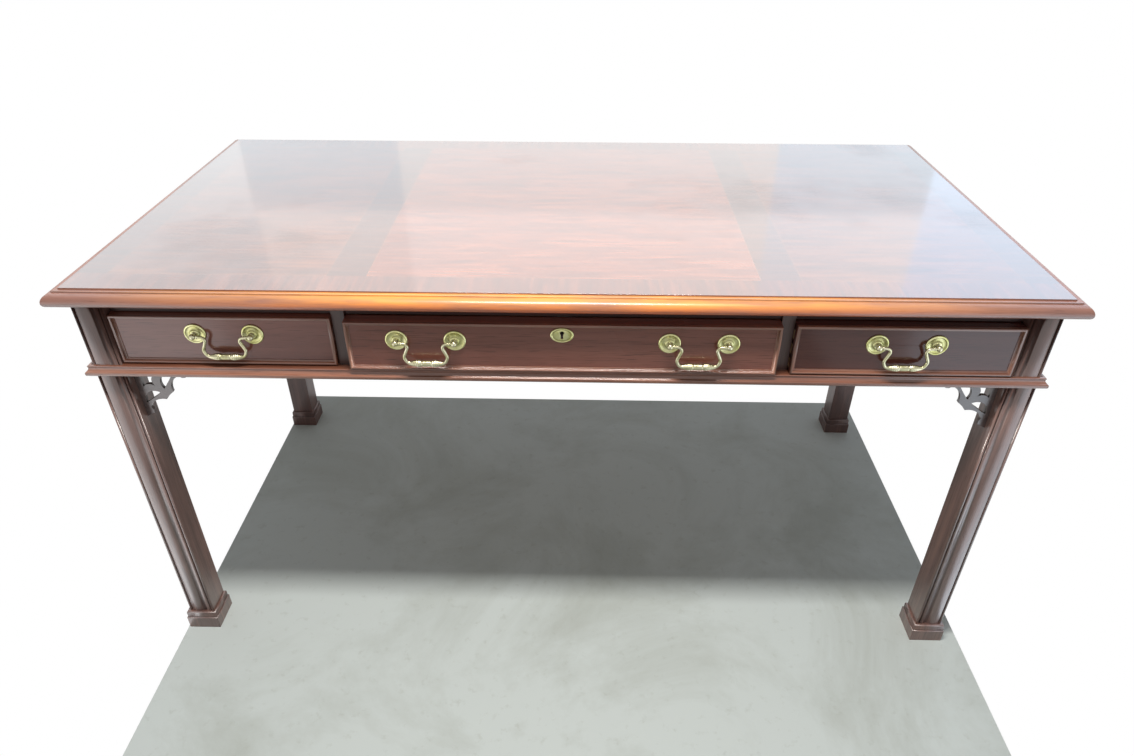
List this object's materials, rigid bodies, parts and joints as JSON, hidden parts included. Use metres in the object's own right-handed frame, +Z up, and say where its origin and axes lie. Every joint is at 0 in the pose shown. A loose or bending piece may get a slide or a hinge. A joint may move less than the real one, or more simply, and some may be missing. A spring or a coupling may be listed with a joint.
{
  "type": "library table",
  "caption": "Mahogany library table with a moulded rectangular top, sliding frieze drawers with swinging brass bail handles, moulded straight legs on block feet and pierced brackets.",
  "frame": {"origin": "on the floor under the middle of the top", "axes": "+X along the length to the right of a sitter at the drawers, +Y to the back, +Z up"},
  "size_m": [1.524, 0.762, 0.756],
  "materials": {
    "mahogany_top": "french polished, glossy",
    "mahogany": "polished",
    "mahogany_front": "polished",
    "oak": "bare, planed",
    "brass": "aged, softly polished",
    "lock_steel": "worn"
  },
  "bodies": {
    "table": {"top_board": "mahogany_top", "top_moulding_front": "mahogany_top", "top_moulding_right": "mahogany_top", "top_moulding_back": "mahogany_top", "top_moulding_left": "mahogany_top", "front_left_leg": "mahogany", "front_right_leg": "mahogany", "back_right_leg": "mahogany", "back_left_leg": "mahogany", "front_left_foot": "mahogany", "front_right_foot": "mahogany", "back_right_foot": "mahogany", "back_left_foot": "mahogany", "back_rail": "mahogany", "left_side_rail": "mahogany", "right_side_rail": "mahogany", "front_top_rail": "mahogany", "front_bottom_rail": "mahogany", "left_divider": "mahogany", "right_divider": "mahogany", "waist_moulding_front": "mahogany", "waist_moulding_right": "mahogany", "waist_moulding_back": "mahogany", "waist_moulding_left": "mahogany", "left_bracket": "mahogany", "right_bracket": "mahogany", "left_partition": "oak", "right_partition": "oak", "drawer_runners": "oak", "drawer_kickers": "oak", "glue_blocks": "oak"},
    "left_drawer": {"left_drawer_front": "mahogany_front", "left_drawer_bead_frame": "mahogany_front", "left_drawer_sides": "oak", "left_drawer_back": "oak", "left_drawer_bottom": "oak", "left_drawer_handle_roses": "brass", "left_drawer_handle_posts": "brass"},
    "centre_drawer": {"centre_drawer_front": "mahogany_front", "centre_drawer_bead_frame": "mahogany_front", "centre_drawer_sides": "oak", "centre_drawer_back": "oak", "centre_drawer_bottom": "oak", "centre_drawer_handle_roses": "brass", "centre_drawer_handle_posts": "brass", "keyhole_escutcheon": "brass", "lock_case": "lock_steel"},
    "right_drawer": {"right_drawer_front": "mahogany_front", "right_drawer_bead_frame": "mahogany_front", "right_drawer_sides": "oak", "right_drawer_back": "oak", "right_drawer_bottom": "oak", "right_drawer_handle_roses": "brass", "right_drawer_handle_posts": "brass"},
    "left_bail": {"left_bail": "brass"},
    "centre_left_bail": {"centre_left_bail": "brass"},
    "centre_right_bail": {"centre_right_bail": "brass"},
    "right_bail": {"right_bail": "brass"},
    "lock_bolt": {"lock_bolt": "lock_steel"}
  },
  "joints": [
    {"name": "left_drawer_slide", "type": "slide", "parent": "table", "child": "left_drawer", "axis": [0, -1, 0], "range_m": [0, 0.32]},
    {"name": "centre_drawer_slide", "type": "slide", "parent": "table", "child": "centre_drawer", "axis": [0, -1, 0], "range_m": [-0.0115, 0.32]},
    {"name": "right_drawer_slide", "type": "slide", "parent": "table", "child": "right_drawer", "axis": [0, -1, 0], "range_m": [-0.0075, 0.32]},
    {"name": "left_bail_swing", "type": "hinge", "parent": "left_drawer", "child": "left_bail", "pos_m": [-0.5195, -0.36, 0.674], "axis": [-1, 0, 0], "range_deg": [-4, 150]},
    {"name": "centre_left_bail_swing", "type": "hinge", "parent": "centre_drawer", "child": "centre_left_bail", "pos_m": [-0.207, -0.3715, 0.674], "axis": [-1, 0, 0], "range_deg": [-4, 150]},
    {"name": "centre_right_bail_swing", "type": "hinge", "parent": "centre_drawer", "child": "centre_right_bail", "pos_m": [0.207, -0.3715, 0.674], "axis": [-1, 0, 0], "range_deg": [-4, 150]},
    {"name": "right_bail_swing", "type": "hinge", "parent": "right_drawer", "child": "right_bail", "pos_m": [0.5195, -0.3675, 0.674], "axis": [-1, 0, 0], "range_deg": [-4, 150]},
    {"name": "lock_bolt_slide", "type": "slide", "parent": "centre_drawer", "child": "lock_bolt", "axis": [0, 0, 1], "range_m": [0, 0.008]}
  ]
}
